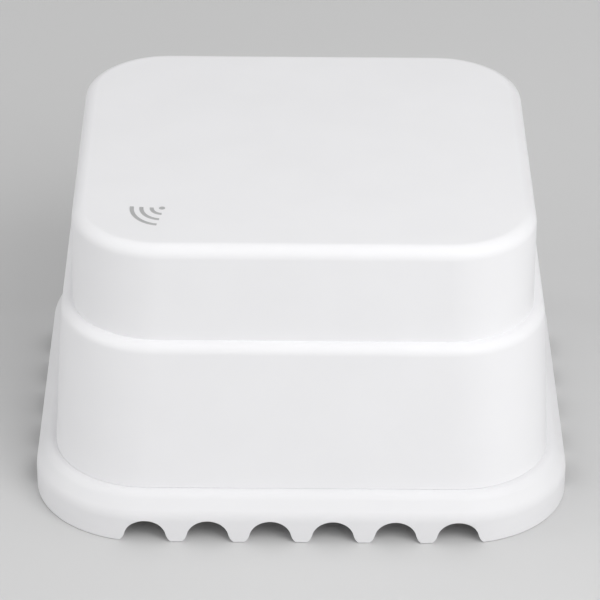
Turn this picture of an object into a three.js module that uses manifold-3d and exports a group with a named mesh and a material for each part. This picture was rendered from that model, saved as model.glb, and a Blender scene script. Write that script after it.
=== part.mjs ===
// Wireless floor leak sensor: a two-tier white cover on a flared, arched base tray.
// Millimetres, +Z up. The origin is the middle of the footprint, on the floor; the front faces -Y.
import * as THREE from 'three';
import { mergeVertices } from 'three/addons/utils/BufferGeometryUtils.js';
import Module from 'manifold-3d';

const wasm = await Module();
wasm.setup();

// ---------- driving dimensions ----------
const FOOT_W = 80;              // overall width at the skirt
const FOOT_D = 76;              // overall depth at the skirt
const FOOT_R = 16.8;            // plan radius of the skirt's corners
const HEIGHT = 46.3;            // overall height
const WALL = 2;                 // moulded wall
const GAP = 0.1;                // fit between pieces that bear on one another

const SKIRT_RIM_Z = 4.4;        // top of the skirt's upright band
const FLANGE_Z = 7.6;           // top of the base flange
const PLATE_Z = 5.5;            // underside of the tray's bottom plate
const PARTING = 0.1;            // shadow line between cover and flange
const COVER_Z = FLANGE_Z + PARTING;

const COVER_INSET = 3.05;       // cover's foot, in from the skirt
const LEDGE_Z = 31.2;           // shelf between the two tiers
const LEDGE_INSET = 4.25;       // lower tier at the ledge
const LEDGE_FILLET = 1.7;
const UPPER_INSET = 5.95;       // upper tier's foot
const UPPER_DRAFT = 0.15;
const TOP_FILLET = 1.95;
const LOWER_R = 14.1;
const UPPER_R = 13;

const ARCH_PITCH = 9.24;
const ARCH_HALF = 3.1;          // half width where an arch is widest above its flared foot
const ARCH_H = 3.72;
const ARCH_BELLY = 0.9;         // height of the arch's centre
const ARCH_FOOT = [[3.98, 0], [3.28, 0.45], [3.03, 1.5]];  // curve of the flare, foot to wall
const ARCHES_FRONT = 6;
const ARCHES_SIDE = 5;

const RIM_INSET = 5.6;          // locating rim inside the cover
const RIM_WALL = 1.6;
const RIM_Z = 12.6;
const RIM_R = 12;
const SEAL_Z = 10;
const SEAL_H = 1.2;
const SEAL_DEPTH = 0.7;

const CASE_SCREW = [27.6, 25.6];
const CASE_BOSS_R = 2.7;        // boss hanging from the cover
const TRAY_BOSS_R = 3.9;
const TRAY_BOSS_Z = 13;
const CASE_HEAD_Z = 9.6;        // shoulder under which the screw head bears

const WELL_W = 50.5;            // battery well, inside
const WELL_D = 22.5;
const WELL_Y = 7;
const WELL_WALL = 1.5;
const WELL_CEILING = 18.2;
const CELL_R = 5.25;            // AAA cell
const CELL_LENGTH = 44.5;
const CELL_NUB = 1;
const CELL_SPACING = 11.2;
const CELL_Z = 11.6;
const CONTACT_T = 0.4;

const DOOR_W = 66;
const DOOR_D = 27;
const DOOR_R = 3;
const DOOR_Z = [3.3, 5];
const DOOR_SCREW_X = 30;

const BOARD_W = 62;
const BOARD_D = 57;
const BOARD_Z = 21.2;
const BOARD_T = 1.6;
const BOARD_NOTCH = [24, 22];
const BOARD_TOP = BOARD_Z + BOARD_T;
const POST = [19, 25];          // standoffs, which also carry the probes

const SIREN = [0, -17.5];
const SIREN_R = 10;
const SIREN_TOP = 16;

const DIP_X = 8;
const DIP_PITCH = 2.54;
const DIP_BOTTOM = 17.4;
const RESET_X = -12;
const RESET_BOTTOM = 17.65;

const SYMBOL = [-20.66, -19.98];  // dot of the wireless symbol, front left of the top
const SYMBOL_DOT = 0.45;
const SYMBOL_STROKE = 0.58;
const SYMBOL_START = 175;       // degrees, where every arc begins
const SYMBOL_ARCS = [[1.5, 1.75, 270], [3.0, 3.4, 264], [4.4, 5.0, 262]];  // radii, end angle

const CORNER_STEPS = 8;
const ROUND_STEPS = 24;

// ---------- closed shapes built from rings ----------
function geometryOf(vertices, triangles) {
  const geometry = new THREE.BufferGeometry();
  geometry.setAttribute('position', new THREE.Float32BufferAttribute(vertices.flat(), 3));
  geometry.setIndex(triangles.flat());
  return geometry;
}

// Joins rings of equal point count along a path; the ends are capped unless the path is a loop.
function stack(rings, loop = false) {
  const count = rings[0].length;
  const vertices = rings.flat();
  const triangles = [];
  const last = loop ? rings.length : rings.length - 1;
  for (let k = 0; k < last; k += 1) {
    const low = k * count;
    const high = ((k + 1) % rings.length) * count;
    for (let i = 0; i < count; i += 1) {
      const j = (i + 1) % count;
      triangles.push([low + i, low + j, high + j], [low + i, high + j, high + i]);
    }
  }
  if (!loop) {
    for (const [ring, flip] of [[0, true], [rings.length - 1, false]]) {
      const middle = [0, 1, 2].map((axis) => (
        rings[ring].reduce((sum, point) => sum + point[axis], 0) / count));
      const centre = vertices.push(middle) - 1;
      for (let i = 0; i < count; i += 1) {
        const a = ring * count + i;
        const b = ring * count + (i + 1) % count;
        triangles.push(flip ? [centre, b, a] : [centre, a, b]);
      }
    }
  }
  return geometryOf(vertices, triangles);
}

function roundRing(radius, z, x = 0, y = 0, steps = ROUND_STEPS) {
  return Array.from({ length: steps }, (_, i) => {
    const angle = (2 * Math.PI * i) / steps;
    return [x + radius * Math.cos(angle), y + radius * Math.sin(angle), z];
  });
}

function boxRing(width, depth, radius, z, x = 0, y = 0, steps = CORNER_STEPS) {
  const ring = [];
  for (let corner = 0; corner < 4; corner += 1) {
    const sx = corner === 0 || corner === 3 ? 1 : -1;
    const sy = corner < 2 ? 1 : -1;
    for (let i = 0; i <= steps; i += 1) {
      const angle = (Math.PI / 2) * (corner + i / steps);
      ring.push([
        x + sx * (width / 2 - radius) + radius * Math.cos(angle),
        y + sy * (depth / 2 - radius) + radius * Math.sin(angle),
        z,
      ]);
    }
  }
  return ring;
}

// A ring of the case, set in from the skirt's outline.
const caseRing = (inset, radius, z) => (
  boxRing(FOOT_W - 2 * inset, FOOT_D - 2 * inset, radius, z));

const turned = (profile, x = 0, y = 0, steps = ROUND_STEPS) => (
  stack(profile.map(([radius, z]) => roundRing(radius, z, x, y, steps))));
const rod = (radius, low, high, x = 0, y = 0, steps = ROUND_STEPS) => (
  turned([[radius, low], [radius, high]], x, y, steps));
const slab = (width, depth, radius, low, high, x = 0, y = 0) => (
  stack([boxRing(width, depth, radius, low, x, y, 3), boxRing(width, depth, radius, high, x, y, 3)]));

function box(x0, x1, y0, y1, z0, z1) {
  const shape = new THREE.BoxGeometry(x1 - x0, y1 - y0, z1 - z0);
  shape.translate((x0 + x1) / 2, (y0 + y1) / 2, (z0 + z1) / 2);
  return shape;
}

function frameRing(width, depth, radius, band, low, high, x = 0, y = 0) {
  const inner = [width - 2 * band, depth - 2 * band, Math.max(radius - band, 0.3)];
  return stack([
    boxRing(width, depth, radius, low, x, y, 4), boxRing(width, depth, radius, high, x, y, 4),
    boxRing(...inner, high, x, y, 4), boxRing(...inner, low, x, y, 4),
  ], true);
}

// A round bar along a path of points, with flat ends.
function bar(points, radius, sides = 6) {
  const path = points.map((point) => new THREE.Vector3(...point));
  let side = new THREE.Vector3(0, 0, 1);
  const rings = path.map((point, i) => {
    const ahead = path[Math.min(i + 1, path.length - 1)].clone();
    const along = ahead.sub(path[Math.max(i - 1, 0)]).normalize();
    side = side.clone().addScaledVector(along, -side.dot(along));
    if (side.length() < 0.05) side = new THREE.Vector3(1, 0, 0).cross(along);
    side.normalize();
    const third = along.clone().cross(side);
    return Array.from({ length: sides }, (_, k) => {
      const angle = (2 * Math.PI * k) / sides;
      const spot = point.clone().addScaledVector(side, radius * Math.cos(angle));
      return spot.addScaledVector(third, radius * Math.sin(angle)).toArray();
    });
  });
  return stack(rings);
}

// A helix along X, from one radius to another.
function coil(x0, x1, y, z, radii, turns, wire, perTurn = 12) {
  const steps = Math.round(turns * perTurn);
  return bar(Array.from({ length: steps + 1 }, (_, i) => {
    const part = i / steps;
    const angle = 2 * Math.PI * turns * part;
    const radius = radii[0] + (radii[1] - radii[0]) * part;
    return [x0 + (x1 - x0) * part, y + radius * Math.cos(angle), z + radius * Math.sin(angle)];
  }), wire, 6);
}

// ---------- joining and cutting ----------
function toSolid(geometry) {
  const bare = geometry.clone();
  bare.deleteAttribute('normal');
  bare.deleteAttribute('uv');
  const merged = mergeVertices(bare, 1e-4);
  return new wasm.Manifold(new wasm.Mesh({
    numProp: 3,
    vertProperties: new Float32Array(merged.attributes.position.array),
    triVerts: new Uint32Array(merged.index.array),
  }));
}

function carve(base, { add = [], cut = [] }) {
  let solid = toSolid(base);
  for (const shape of add) solid = solid.add(toSolid(shape));
  for (const shape of cut) solid = solid.subtract(toSolid(shape));
  const mesh = solid.getMesh();
  const geometry = new THREE.BufferGeometry();
  geometry.setAttribute('position', new THREE.BufferAttribute(mesh.vertProperties.slice(), 3));
  geometry.setIndex(new THREE.BufferAttribute(mesh.triVerts.slice(), 1));
  return geometry;
}

const corners = (x, y) => [[-x, -y], [x, -y], [-x, y], [x, y]];

// ---------- finishes ----------
const finish = (color, roughness, metalness = 0) => (
  new THREE.MeshStandardMaterial({ color, roughness, metalness }));
const WHITE = finish(0xeef0f0, 0.25);
const GREY = finish(0x8d9296, 0.4);
const CLEAR = finish(0xdfe8ea, 0.1);
const RUBBER = finish(0x3a3b3d, 0.8);
const STEEL = finish(0xb9bcc0, 0.3, 1);
const BRASS = finish(0xc9a45a, 0.3, 1);
const GOLD = finish(0xd9b24c, 0.2, 1);
const BOARD_GREEN = finish(0x1f6b3c, 0.5);
const BLACK = finish(0x1d1e20, 0.5);
const RED = finish(0xb3262b, 0.5);
const COPPER = finish(0xb87345, 0.3, 1);
const CELL_BLUE = finish(0x2c5f9e, 0.35);

const group = new THREE.Group();
function place(name, geometry, material) {
  const mesh = new THREE.Mesh(geometry, material);
  mesh.name = name;
  group.add(mesh);
}

// ---------- cover ----------
function fillet(radius, inset, cornerRadius, top, steps) {
  return Array.from({ length: steps + 1 }, (_, i) => {
    const angle = (Math.PI / 2) * (i / steps);
    const inward = radius * (1 - Math.cos(angle));
    return caseRing(inset + inward, cornerRadius - inward, top - radius * (1 - Math.sin(angle)));
  });
}

function symbolArcs(low, high, stroke) {
  return SYMBOL_ARCS.map(([wide, deep, stop]) => {
    const steps = 9;
    const strip = (z) => {
      const ring = [];
      for (const side of [1, -1]) {
        for (let i = 0; i <= steps; i += 1) {
          const part = side > 0 ? i / steps : 1 - i / steps;
          const trim = (stroke - SYMBOL_STROKE) / 2 / wide;
          const start = THREE.MathUtils.degToRad(SYMBOL_START) - trim;
          const end = THREE.MathUtils.degToRad(stop) + trim;
          const angle = start + (end - start) * part;
          ring.push([
            SYMBOL[0] + (wide + (side * stroke) / 2) * Math.cos(angle),
            SYMBOL[1] + (deep + (side * stroke) / 2) * Math.sin(angle),
            z,
          ]);
        }
      }
      return ring;
    };
    return closeStrip(strip(low), strip(high), steps);
  });
}

// Closes a curved strip between a lower and an upper outline without fanning across its bend.
function closeStrip(low, high, steps) {
  const count = low.length;
  const triangles = [];
  for (let i = 0; i < count; i += 1) {
    const j = (i + 1) % count;
    triangles.push([i, j, count + j], [i, count + j, count + i]);
  }
  for (let i = 0; i < steps; i += 1) {
    const far = count - 1 - i;
    triangles.push([i, far, i + 1], [i + 1, far, far - 1]);
    triangles.push([count + i, count + i + 1, count + far], [count + i + 1, count + far - 1, count + far]);
  }
  return geometryOf([...low, ...high], triangles);
}

function topCover() {
  const upperTop = UPPER_INSET + UPPER_DRAFT;
  const shell = stack([
    caseRing(upperTop + WALL, UPPER_R - WALL, HEIGHT - WALL),
    caseRing(UPPER_INSET + WALL, UPPER_R - WALL, LEDGE_Z - WALL),
    caseRing(LEDGE_INSET + WALL, LOWER_R - WALL, LEDGE_Z - WALL),
    caseRing(COVER_INSET + WALL, LOWER_R - WALL, COVER_Z),
    caseRing(COVER_INSET, LOWER_R, COVER_Z),
    ...fillet(LEDGE_FILLET - 0.05, LEDGE_INSET, LOWER_R, LEDGE_Z, 4),
    caseRing(UPPER_INSET, UPPER_R, LEDGE_Z),
    ...fillet(TOP_FILLET, upperTop, UPPER_R, HEIGHT, 5),
  ]);
  const bosses = [];
  const cuts = [rod(SYMBOL_DOT + GAP, HEIGHT - WALL - 1, HEIGHT + 1, ...SYMBOL)];
  for (const spot of corners(...CASE_SCREW)) {
    bosses.push(rod(CASE_BOSS_R, TRAY_BOSS_Z + GAP, HEIGHT - WALL + 0.5, ...spot, 16));
    cuts.push(rod(1.2, TRAY_BOSS_Z - 1, 24, ...spot, 12));
  }
  cuts.push(...symbolArcs(HEIGHT - WALL - 1, HEIGHT + 1, SYMBOL_STROKE + 2 * GAP));
  return carve(shell, { add: bosses, cut: cuts });
}

function signalWindow() {
  const seat = rod(5.8, HEIGHT - WALL - 1.1, HEIGHT - WALL - GAP, ...SYMBOL);
  const flush = HEIGHT - 0.03;
  const raised = [rod(SYMBOL_DOT, HEIGHT - WALL - 0.5, flush, ...SYMBOL)];
  raised.push(...symbolArcs(HEIGHT - WALL - 0.5, flush, SYMBOL_STROKE));
  return carve(seat, { add: raised });
}

place('top_cover', topCover(), WHITE);
place('signal_window', signalWindow(), GREY);
place('light_guide', turned([
  [2.2, 28.3], [2.2, 37], [5, HEIGHT - WALL - 2.2], [5, HEIGHT - WALL - 1.2],
], ...SYMBOL), CLEAR);

// ---------- base tray ----------
// Outline of one arch, as distance from the arch's middle against height above the floor.
function archOutline() {
  const [foot, bend, wall] = ARCH_FOOT;
  const left = [[-foot[0], -1]];
  for (const t of [0, 0.25, 0.5, 0.75]) {
    const [across, up] = [0, 1].map((axis) => (
      foot[axis] * (1 - t) ** 2 + bend[axis] * 2 * t * (1 - t) + wall[axis] * t ** 2));
    left.push([-across, up]);
  }
  const rise = ARCH_H - ARCH_BELLY;
  const start = Math.asin((wall[1] - ARCH_BELLY) / rise);
  const crown = [];
  for (let i = 0; i <= 10; i += 1) {
    const angle = Math.PI - start - ((Math.PI - 2 * start) * i) / 10;
    crown.push([ARCH_HALF * Math.cos(angle), ARCH_BELLY + rise * Math.sin(angle)]);
  }
  return [...left, ...crown, ...left.reverse().map(([across, up]) => [-across, up])];
}

function archCut(middle, alongX) {
  const shape = new THREE.Shape(archOutline().map(([across, up]) => new THREE.Vector2(across, up)));
  const reach = 100;
  const prism = new THREE.ExtrudeGeometry(shape, { depth: reach, bevelEnabled: false, steps: 1 });
  prism.translate(0, 0, -reach / 2);
  prism.rotateX(Math.PI / 2);
  if (alongX) prism.rotateZ(Math.PI / 2);
  prism.translate(alongX ? 0 : middle, alongX ? middle : 0, 0);
  return prism;
}

function baseTray() {
  const body = stack([
    caseRing(WALL + 0.5, FOOT_R - WALL - 0.5, PLATE_Z),
    caseRing(WALL, FOOT_R - WALL, PLATE_Z - 0.6),
    caseRing(WALL, FOOT_R - WALL, 0),
    caseRing(0, FOOT_R, 0),
    caseRing(0, FOOT_R, SKIRT_RIM_Z),
    caseRing(0.2, FOOT_R - 0.2, SKIRT_RIM_Z + 0.5),
    caseRing(1.35, FOOT_R - 1.35, 6.85),
    caseRing(1.8, FOOT_R - 1.8, 7.35),
    caseRing(2.5, FOOT_R - 2.4, FLANGE_Z),
    caseRing(RIM_INSET, RIM_R, FLANGE_Z),
    caseRing(RIM_INSET, RIM_R, SEAL_Z - SEAL_H / 2 - GAP),
    caseRing(RIM_INSET + SEAL_DEPTH, RIM_R - SEAL_DEPTH, SEAL_Z - SEAL_H / 2 - GAP),
    caseRing(RIM_INSET + SEAL_DEPTH, RIM_R - SEAL_DEPTH, SEAL_Z + SEAL_H / 2 + GAP),
    caseRing(RIM_INSET, RIM_R, SEAL_Z + SEAL_H / 2 + GAP),
    caseRing(RIM_INSET, RIM_R, RIM_Z),
    caseRing(RIM_INSET + RIM_WALL, RIM_R - RIM_WALL, RIM_Z),
    caseRing(RIM_INSET + RIM_WALL, RIM_R - RIM_WALL, FLANGE_Z),
  ]);
  const add = [
    slab(WELL_W + 2 * WELL_WALL, WELL_D + 2 * WELL_WALL, 1.5, FLANGE_Z - 0.5,
      WELL_CEILING + WELL_WALL, 0, WELL_Y),
  ];
  const cut = [
    slab(WELL_W, WELL_D, 0.5, PLATE_Z - 1, WELL_CEILING, 0, WELL_Y),
    box(DIP_X - 6.4, DIP_X + 6.4, WELL_Y - 3.7, WELL_Y + 3.7, WELL_CEILING - 1, WELL_CEILING + 3),
    box(RESET_X - 3.7, RESET_X + 3.7, WELL_Y - 3.7, WELL_Y + 3.7, WELL_CEILING - 1, WELL_CEILING + 3),
  ];
  for (const spot of corners(...CASE_SCREW)) {
    add.push(rod(TRAY_BOSS_R, FLANGE_Z - 0.5, TRAY_BOSS_Z, ...spot, 20));
    cut.push(rod(2.7, PLATE_Z - 1, CASE_HEAD_Z, ...spot, 16));
    cut.push(rod(1.4, PLATE_Z - 1, TRAY_BOSS_Z + 1, ...spot, 12));
  }
  for (const side of [-1, 1]) {
    const middle = side * 29.6;
    add.push(box(middle - 3.6, middle + 3.6, WELL_Y - 3, WELL_Y + 3, FLANGE_Z - 0.5, TRAY_BOSS_Z));
    cut.push(rod(1.3, PLATE_Z - 1, 12.4, side * DOOR_SCREW_X, WELL_Y, 12));
    const cell = WELL_Y + (side * CELL_SPACING) / 2;
    cut.push(box(-WELL_W / 2 + 0.05, -WELL_W / 2 + 0.85, cell - 1.6, cell + 1.6,
      WELL_CEILING - 1, WELL_CEILING + 3));
  }
  for (const spot of corners(...POST)) cut.push(rod(1.5, PLATE_Z - 1, FLANGE_Z + 1, ...spot, 12));
  for (let i = 0; i < 6; i += 1) {
    const angle = (Math.PI / 3) * i;
    cut.push(rod(1.1, PLATE_Z - 1, FLANGE_Z + 1,
      SIREN[0] + 4 * Math.cos(angle), SIREN[1] + 4 * Math.sin(angle), 10));
  }
  for (let i = 0; i < ARCHES_FRONT; i += 1) {
    cut.push(archCut((i - (ARCHES_FRONT - 1) / 2) * ARCH_PITCH, false));
  }
  for (let i = 0; i < ARCHES_SIDE; i += 1) {
    cut.push(archCut((i - (ARCHES_SIDE - 1) / 2) * ARCH_PITCH, true));
  }
  return carve(body, { add, cut });
}

place('base_tray', baseTray(), WHITE);

const sealOuter = RIM_INSET - 0.35;
const sealInner = RIM_INSET + SEAL_DEPTH - GAP;
place('case_seal', stack([
  caseRing(sealOuter, RIM_R + 0.3, SEAL_Z - SEAL_H / 2),
  caseRing(sealOuter, RIM_R + 0.3, SEAL_Z + SEAL_H / 2),
  caseRing(sealInner, RIM_R - 0.6, SEAL_Z + SEAL_H / 2),
  caseRing(sealInner, RIM_R - 0.6, SEAL_Z - SEAL_H / 2),
], true), RUBBER);

// ---------- screws ----------
// A cross-recess screw pointing up: the head's bearing face is at the given height.
function screw(x, y, seat, headR, headH, shankR, length) {
  const shape = turned([
    [headR * 0.72, seat - headH], [headR, seat - headH * 0.55], [headR, seat],
    [shankR, seat + 0.001], [shankR, seat + length - 0.8], [shankR * 0.4, seat + length],
  ], x, y, 16);
  const deep = seat - headH * 0.4;
  const arm = headR * 0.55;
  return carve(shape, { cut: [
    box(x - arm, x + arm, y - 0.3, y + 0.3, seat - headH - 1, deep),
    box(x - 0.3, x + 0.3, y - arm, y + arm, seat - headH - 1, deep),
  ] });
}

corners(...CASE_SCREW).forEach(([x, y], i) => {
  place(`case_screw_${i + 1}`, screw(x, y, CASE_HEAD_Z - GAP, 2.4, 1.9, 1.1, 11), STEEL);
});

// ---------- battery door ----------
function batteryDoor() {
  const plate = stack([
    boxRing(DOOR_W - 0.8, DOOR_D - 0.8, DOOR_R - 0.4, DOOR_Z[0], 0, WELL_Y, 4),
    boxRing(DOOR_W, DOOR_D, DOOR_R, DOOR_Z[0] + 0.4, 0, WELL_Y, 4),
    boxRing(DOOR_W, DOOR_D, DOOR_R, DOOR_Z[1], 0, WELL_Y, 4),
  ]);
  const lip = frameRing(WELL_W - 0.8, WELL_D - 0.8, 1.2, 1.2, DOOR_Z[1] - 0.5, 6.5, 0, WELL_Y);
  const holes = [-1, 1].map((side) => rod(1.4, 2, 7, side * DOOR_SCREW_X, WELL_Y, 12));
  return carve(plate, { add: [lip], cut: holes });
}

place('battery_door', batteryDoor(), WHITE);
place('door_gasket', frameRing(56, 25.6, 2.6, 1.9, DOOR_Z[1] + 0.05, PLATE_Z - 0.05, 0, WELL_Y), RUBBER);
for (const [name, side] of [['left', -1], ['right', 1]]) {
  place(`door_screw_${name}`,
    screw(side * DOOR_SCREW_X, WELL_Y, DOOR_Z[0] - 0.05, 2.3, 1.6, 1.05, 8), STEEL);
}

// ---------- cells and contacts ----------
const CONTACT_X = WELL_W / 2 - GAP - CONTACT_T;
const CELL_END = CONTACT_X - GAP;

// A cell along X whose positive nub points the given way.
function cell(y, way) {
  const sleeve = CELL_END - CELL_NUB;
  const tail = CELL_END - CELL_LENGTH;
  const shape = turned([
    [CELL_R - 0.9, tail], [CELL_R - 0.9, tail + 0.25], [CELL_R - 0.25, tail + 0.25],
    [CELL_R, tail + 0.6], [CELL_R, sleeve - 0.5], [CELL_R - 0.4, sleeve],
    [1.9, sleeve + 0.001], [1.9, CELL_END - 0.15], [1.7, CELL_END],
  ]);
  shape.rotateY((way * Math.PI) / 2);
  shape.translate(0, y, CELL_Z);
  return shape;
}

const FRONT_CELL = WELL_Y - CELL_SPACING / 2;
const REAR_CELL = WELL_Y + CELL_SPACING / 2;
place('battery_front', cell(FRONT_CELL, 1), CELL_BLUE);
place('battery_rear', cell(REAR_CELL, -1), CELL_BLUE);

function endPlate(side, y0, y1) {
  const near = side * CONTACT_X;
  const far = side * (CONTACT_X + CONTACT_T);
  return box(Math.min(near, far), Math.max(near, far), y0, y1, CELL_Z - 4.2, CELL_Z + 4.6);
}

function contactWithTab(y) {
  const tab = box(-CONTACT_X - CONTACT_T, -CONTACT_X, y - 1.3, y + 1.3, CELL_Z + 4, BOARD_Z - GAP);
  return carve(endPlate(-1, y - 4.4, y + 4.4), { add: [tab] });
}

place('contact_link', endPlate(1, FRONT_CELL - 4.4, REAR_CELL + 4.4), STEEL);
place('contact_negative', contactWithTab(FRONT_CELL), STEEL);
place('contact_positive', contactWithTab(REAR_CELL), STEEL);
const SPRING_WIRE = 0.3;
const SPRING_FROM = CONTACT_X - SPRING_WIRE - GAP;
const SPRING_TO = CELL_LENGTH - CELL_END + SPRING_WIRE + GAP;
place('battery_spring_front',
  coil(-SPRING_FROM, -SPRING_TO, FRONT_CELL, CELL_Z, [3.6, 2.2], 3.5, SPRING_WIRE), STEEL);
place('battery_spring_rear',
  coil(SPRING_FROM, SPRING_TO, REAR_CELL, CELL_Z, [3.6, 2.2], 3.5, SPRING_WIRE), STEEL);

// ---------- circuit board, posts and probes ----------
function circuitBoard() {
  const cuts = corners(...POST).map((spot) => rod(1.25, BOARD_Z - 1, BOARD_TOP + 1, ...spot, 12));
  for (const [sx, sy] of corners(1, 1)) {
    const xs = [sx * BOARD_NOTCH[0], sx * BOARD_W].sort((a, b) => a - b);
    const ys = [sy * BOARD_NOTCH[1], sy * BOARD_D].sort((a, b) => a - b);
    cuts.push(box(...xs, ...ys, BOARD_Z - 1, BOARD_TOP + 1));
  }
  return carve(slab(BOARD_W, BOARD_D, 1, BOARD_Z, BOARD_TOP), { cut: cuts });
}

place('circuit_board', circuitBoard(), BOARD_GREEN);

corners(...POST).forEach(([x, y], i) => {
  const low = FLANGE_Z + 0.05;
  const high = BOARD_Z - 0.05;
  place(`standoff_${i + 1}`, carve(rod(2.6, low, high, x, y, 6), { cut: [
    rod(1.4, low - 1, 13, x, y, 12), rod(1.2, 15.5, high + 1, x, y, 12)] }), BRASS);
  place(`probe_${i + 1}`, turned([
    [2.2, 1.2], [2.9, 1.7], [3, 2.4], [3, 4.1], [1.25, 4.101], [1.25, 11.6], [0.8, 12],
  ], x, y, 16), GOLD);
  const ring = new THREE.TorusGeometry(2.05, 0.6, 8, 20);
  ring.translate(x, y, 4.8);
  place(`probe_seal_${i + 1}`, mergeVertices(stripped(ring), 1e-4), RUBBER);
  const head = carve(turned([
    [1, BOARD_TOP - 5.5], [1, BOARD_TOP + 0.05], [2.1, BOARD_TOP + 0.051],
    [2.1, BOARD_TOP + 0.9], [1.5, BOARD_TOP + 1.5],
  ], x, y, 16), { cut: [
    box(x - 1.2, x + 1.2, y - 0.25, y + 0.25, BOARD_TOP + 0.8, BOARD_TOP + 3),
    box(x - 0.25, x + 0.25, y - 1.2, y + 1.2, BOARD_TOP + 0.8, BOARD_TOP + 3)] });
  place(`board_screw_${i + 1}`, head, STEEL);
});

function stripped(geometry) {
  geometry.deleteAttribute('normal');
  geometry.deleteAttribute('uv');
  return geometry;
}

// ---------- switches reached through the battery well ----------
const DIP_SPOTS = [-1.5, -0.5, 0.5, 1.5].map((step) => DIP_X + step * DIP_PITCH);
const HANG_TOP = BOARD_Z - 0.05;
place('dip_switch_body', carve(
  box(DIP_X - 5.8, DIP_X + 5.8, WELL_Y - 3.1, WELL_Y + 3.1, DIP_BOTTOM, HANG_TOP),
  { cut: DIP_SPOTS.map((x) => (
    box(x - 0.75, x + 0.75, WELL_Y - 1.3, WELL_Y + 1.3, DIP_BOTTOM - 1, DIP_BOTTOM + 1.3))) },
), RED);
DIP_SPOTS.forEach((x, i) => {
  place(`dip_slider_${i + 1}`,
    box(x - 0.6, x + 0.6, WELL_Y - 1.2, WELL_Y, DIP_BOTTOM - 0.8, DIP_BOTTOM + 1.2), WHITE);
});
place('reset_switch_frame', carve(
  box(RESET_X - 3, RESET_X + 3, WELL_Y - 3, WELL_Y + 3, RESET_BOTTOM, HANG_TOP),
  { cut: [rod(1.9, RESET_BOTTOM - 1, RESET_BOTTOM + 1.75, RESET_X, WELL_Y, 20)] },
), BLACK);
place('reset_button', turned([
  [1.5, RESET_BOTTOM - 1.1], [1.7, RESET_BOTTOM - 0.9], [1.7, RESET_BOTTOM + 1.35],
], RESET_X, WELL_Y, 20), GREY);

// ---------- parts on the board ----------
const ON_BOARD = BOARD_TOP + 0.05;
place('radio_module', carve(slab(19, 14, 0.5, ON_BOARD, ON_BOARD + 1, 13, 12), {
  add: [slab(14.5, 11.5, 0.6, ON_BOARD + 0.5, ON_BOARD + 3, 11.2, 12)] }), STEEL);
place('controller_chip', slab(9, 9, 0.3, ON_BOARD, ON_BOARD + 1.2, -8, 8), BLACK);
place('crystal_can', slab(10.6, 4.4, 2.1, ON_BOARD, ON_BOARD + 3.2, -8, -2), STEEL);
place('antenna_coil', coil(-12.5, 12.5, 24, ON_BOARD + 2.9, [2.5, 2.5], 9, 0.35), COPPER);
place('status_led', turned([
  [1.9, ON_BOARD], [1.9, ON_BOARD + 1], [1.5, ON_BOARD + 1.001], [1.5, ON_BOARD + 3.6],
  [1.1, ON_BOARD + 4.7], [0.5, ON_BOARD + 5.1],
], ...SYMBOL, 16), CLEAR);
place('storage_capacitor', turned([
  [3.8, ON_BOARD], [4, ON_BOARD + 0.3], [4, ON_BOARD + 1.2], [3.7, ON_BOARD + 1.5],
  [4, ON_BOARD + 1.8], [4, ON_BOARD + 11.6], [3.7, ON_BOARD + 12],
], 7, -12), BLACK);
place('boost_coil', turned([
  [4.2, ON_BOARD], [4.2, ON_BOARD + 1], [3.5, ON_BOARD + 1.2], [3.5, ON_BOARD + 4.4],
  [4.2, ON_BOARD + 4.6], [4.2, ON_BOARD + 5.6],
], 21, -13), COPPER);

// ---------- siren ----------
const SIREN_LOW = FLANGE_Z + 0.5;
place('siren_membrane', rod(9.4, FLANGE_Z + 0.05, SIREN_LOW - 0.05, ...SIREN), GREY);
place('siren_housing', stack([
  roundRing(8, 14.8, ...SIREN), roundRing(8, 12.5, ...SIREN), roundRing(8.9, 12.5, ...SIREN),
  roundRing(8.9, SIREN_LOW, ...SIREN), roundRing(SIREN_R, SIREN_LOW, ...SIREN),
  roundRing(SIREN_R, SIREN_TOP - 0.5, ...SIREN), roundRing(SIREN_R - 0.5, SIREN_TOP, ...SIREN),
]), BLACK);
place('siren_disc', rod(8.7, 11.9, 12.4, ...SIREN), BRASS);
for (const [name, side, material] of [['red', 1, RED], ['black', -1, BLACK]]) {
  const rise = BOARD_Z - 0.15 - (SIREN_TOP + 0.15);
  const lead = Array.from({ length: 13 }, (_, i) => {
    const part = i / 12;
    const swing = Math.sin(Math.PI * part) ** 2;
    return [side * (2.5 + 2 * swing), SIREN[1] - 3 * swing, SIREN_TOP + 0.15 + rise * part];
  });
  place(`siren_lead_${name}`, bar(lead, 0.45, 8), material);
}

export default group;
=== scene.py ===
"""Looks for the wireless floor leak sensor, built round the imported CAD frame.

Lengths are in millimetres in the constants and shape functions, and become metres as each mesh is made.
"""

import math

import bmesh
import bpy
from mathutils import Matrix, Vector


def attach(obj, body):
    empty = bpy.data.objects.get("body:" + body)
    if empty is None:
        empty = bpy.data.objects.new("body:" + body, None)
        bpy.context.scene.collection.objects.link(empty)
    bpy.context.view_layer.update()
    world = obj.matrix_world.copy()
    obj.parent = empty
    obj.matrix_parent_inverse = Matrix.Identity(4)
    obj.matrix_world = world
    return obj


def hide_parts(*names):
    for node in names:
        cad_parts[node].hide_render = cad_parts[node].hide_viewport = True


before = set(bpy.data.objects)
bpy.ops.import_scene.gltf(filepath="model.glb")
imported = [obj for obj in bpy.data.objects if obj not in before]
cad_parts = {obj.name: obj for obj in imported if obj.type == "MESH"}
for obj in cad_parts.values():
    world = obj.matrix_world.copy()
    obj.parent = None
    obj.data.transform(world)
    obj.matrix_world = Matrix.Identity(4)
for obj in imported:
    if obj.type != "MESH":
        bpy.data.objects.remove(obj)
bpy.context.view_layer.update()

MM = 0.001
FINE = 20                     # steps in a quarter turn of the case's corners
ROUND = 56                    # steps round a turned part

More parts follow.
